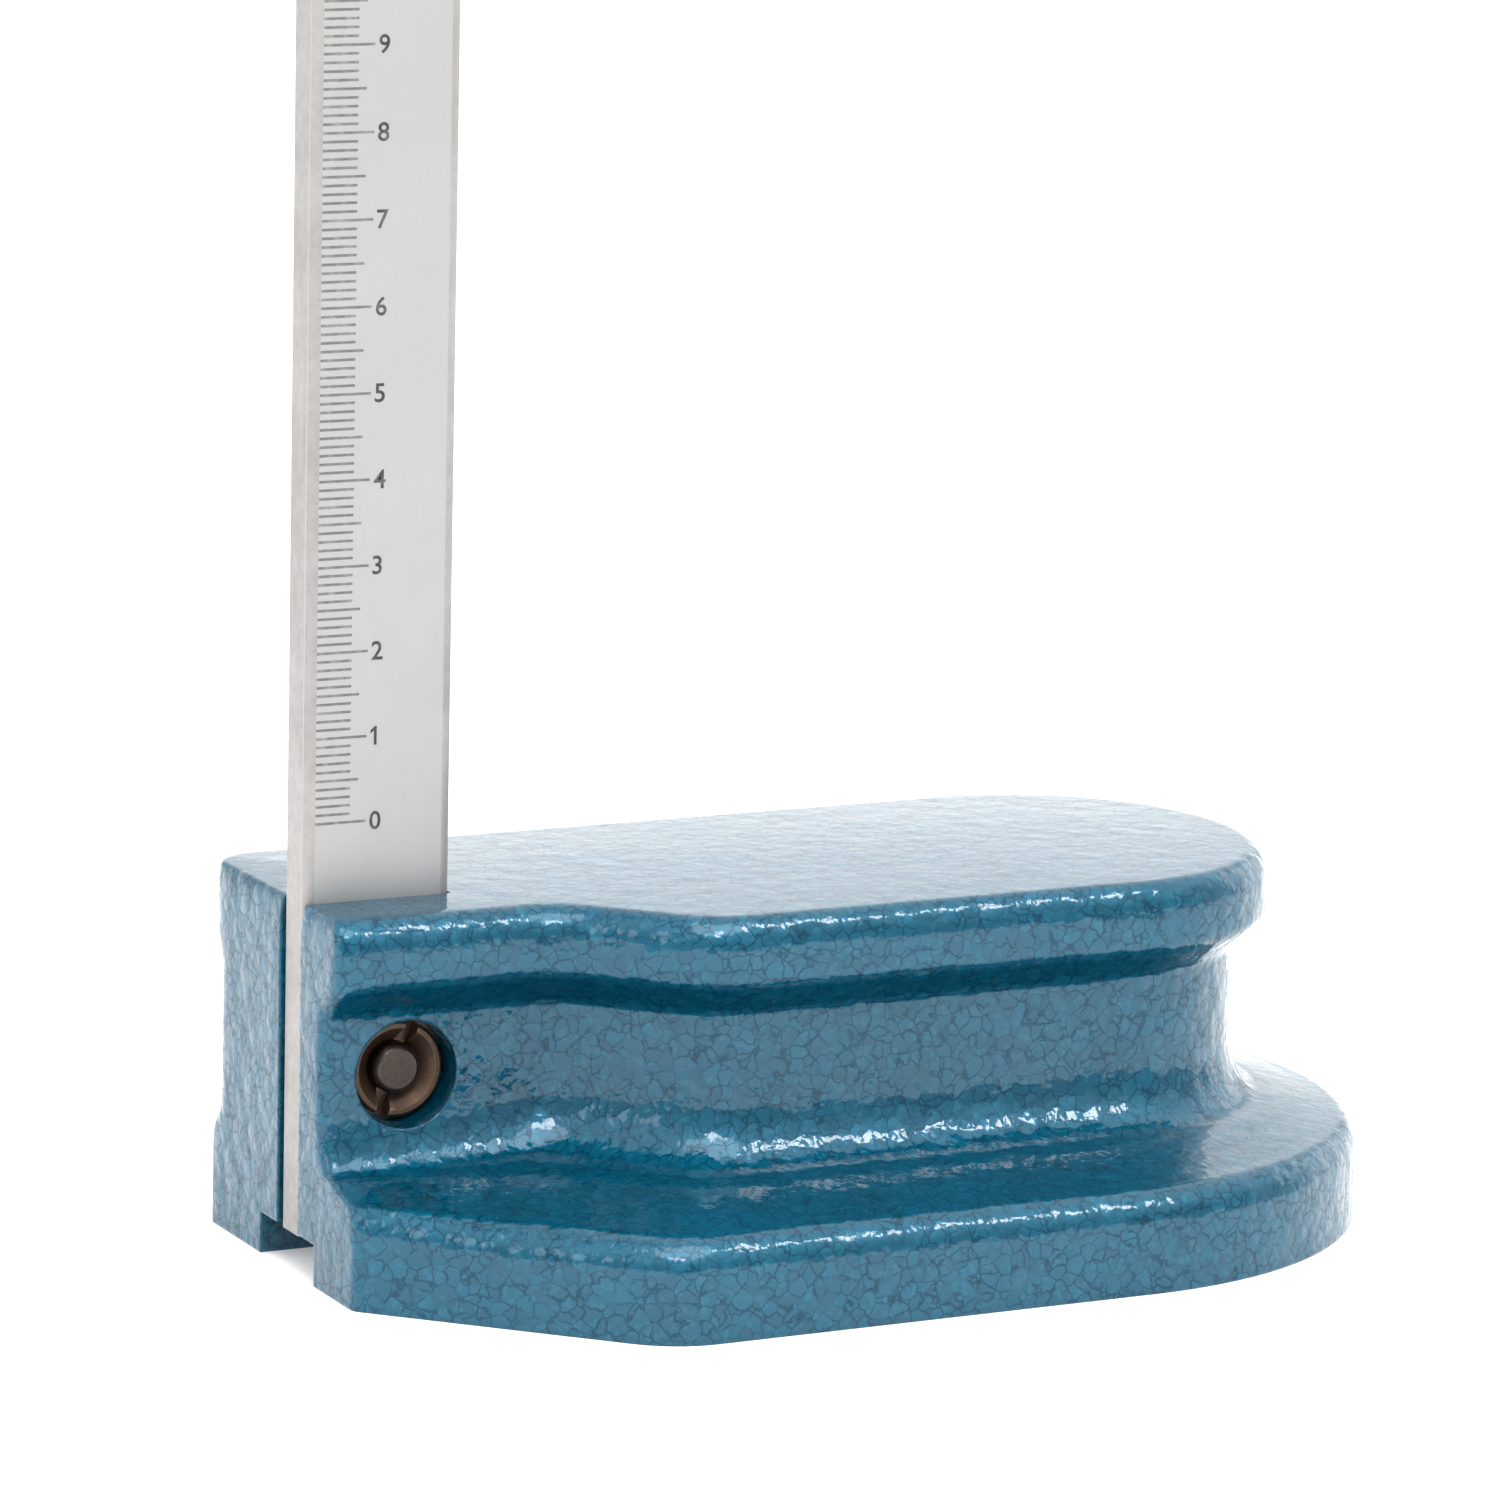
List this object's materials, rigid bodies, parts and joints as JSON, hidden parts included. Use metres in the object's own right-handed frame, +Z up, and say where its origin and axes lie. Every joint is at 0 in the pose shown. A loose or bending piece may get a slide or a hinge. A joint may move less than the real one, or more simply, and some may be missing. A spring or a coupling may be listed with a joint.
{
  "type": "vernier height gauge",
  "caption": "Vernier height gauge: waisted cast base with a rounded grip end, a graduated beam clamped in its front slot, and a fine-feed slider carrying a clamped scriber.",
  "frame": {"origin": "middle of the gauge's footprint box, on the lapped underside of the base", "axes": "+Z up the beam, +X from the scriber back to the base's rounded end, -Y out of the graduated face; Y = 0 is the middle of the beam's thickness"},
  "size_m": [0.2252, 0.0946, 0.4517],
  "materials": {
    "hammertone": "glossy blue hammertone enamel",
    "beam_steel": "satin ground",
    "scale_steel": "satin chrome",
    "satin_steel": "satin",
    "plain_steel": "ground",
    "knurled_steel": "bright",
    "black_steel": "black oxide",
    "hard_metal": "ground hard metal",
    "brass": "drawn"
  },
  "bodies": {
    "frame": {"base": "hammertone", "beam": "beam_steel", "beam_clamp_stud": "plain_steel", "beam_clamp_nut": "black_steel", "beam_stop_screw": "black_steel"},
    "carriage": {"carriage": "satin_steel", "carriage_keeper": "satin_steel", "carriage_keeper_screws": "black_steel", "carriage_clamp_pad": "brass"},
    "slider": {"slider": "satin_steel", "slider_keeper": "satin_steel", "slider_keeper_screws": "black_steel", "vernier_plate": "scale_steel", "vernier_screws": "black_steel", "slider_gib": "brass", "slider_gib_screws": "black_steel", "fine_feed_screw": "plain_steel", "fine_feed_pin": "plain_steel"},
    "fine_nut": {"fine_feed_nut": "knurled_steel"},
    "slider_clamp": {"slider_clamp_screw": "knurled_steel"},
    "carriage_clamp": {"carriage_clamp_screw": "knurled_steel"},
    "scriber_clamp": {"scriber_clamp": "satin_steel"},
    "scriber_clamp_screw": {"scriber_clamp_screw": "knurled_steel"},
    "scriber": {"scriber": "plain_steel", "scriber_tip": "hard_metal"}
  },
  "joints": [
    {"name": "carriage_travel", "type": "slide", "parent": "frame", "child": "carriage", "axis": [0, 0, 1], "range_m": [-0.161, 0.131]},
    {"name": "fine_feed", "type": "slide", "parent": "carriage", "child": "slider", "axis": [0, 0, 1], "range_m": [-0.004, 0.004]},
    {"name": "fine_nut_turn", "type": "hinge", "parent": "carriage", "child": "fine_nut", "pos_m": [0.0074, 0, 0.2937], "axis": [0, 0, 1], "range_deg": [-2890, 2890]},
    {"name": "slider_clamp_turn", "type": "hinge", "parent": "slider", "child": "slider_clamp", "pos_m": [0.0028, 0, 0.2432], "axis": [1, 0, 0], "range_deg": [0, 360]},
    {"name": "carriage_clamp_turn", "type": "hinge", "parent": "carriage", "child": "carriage_clamp", "pos_m": [-0.0346, 0, 0.2937], "axis": [-1, 0, 0], "range_deg": [0, 360]},
    {"name": "scriber_clamp_slide", "type": "slide", "parent": "slider", "child": "scriber_clamp", "axis": [1, 0, 0], "range_m": [-0.004, 0.004]},
    {"name": "scriber_clamp_turn", "type": "hinge", "parent": "scriber_clamp", "child": "scriber_clamp_screw", "pos_m": [-0.0606, 0, 0.199], "axis": [0, 0, 1], "range_deg": [0, 360]},
    {"name": "scriber_slide", "type": "slide", "parent": "slider", "child": "scriber", "axis": [1, 0, 0], "range_m": [-0.008, 0.005]}
  ],
  "couplings": [
    {"joint": "fine_nut_turn", "follows": "fine_feed", "rad_per_m": -12566}
  ]
}
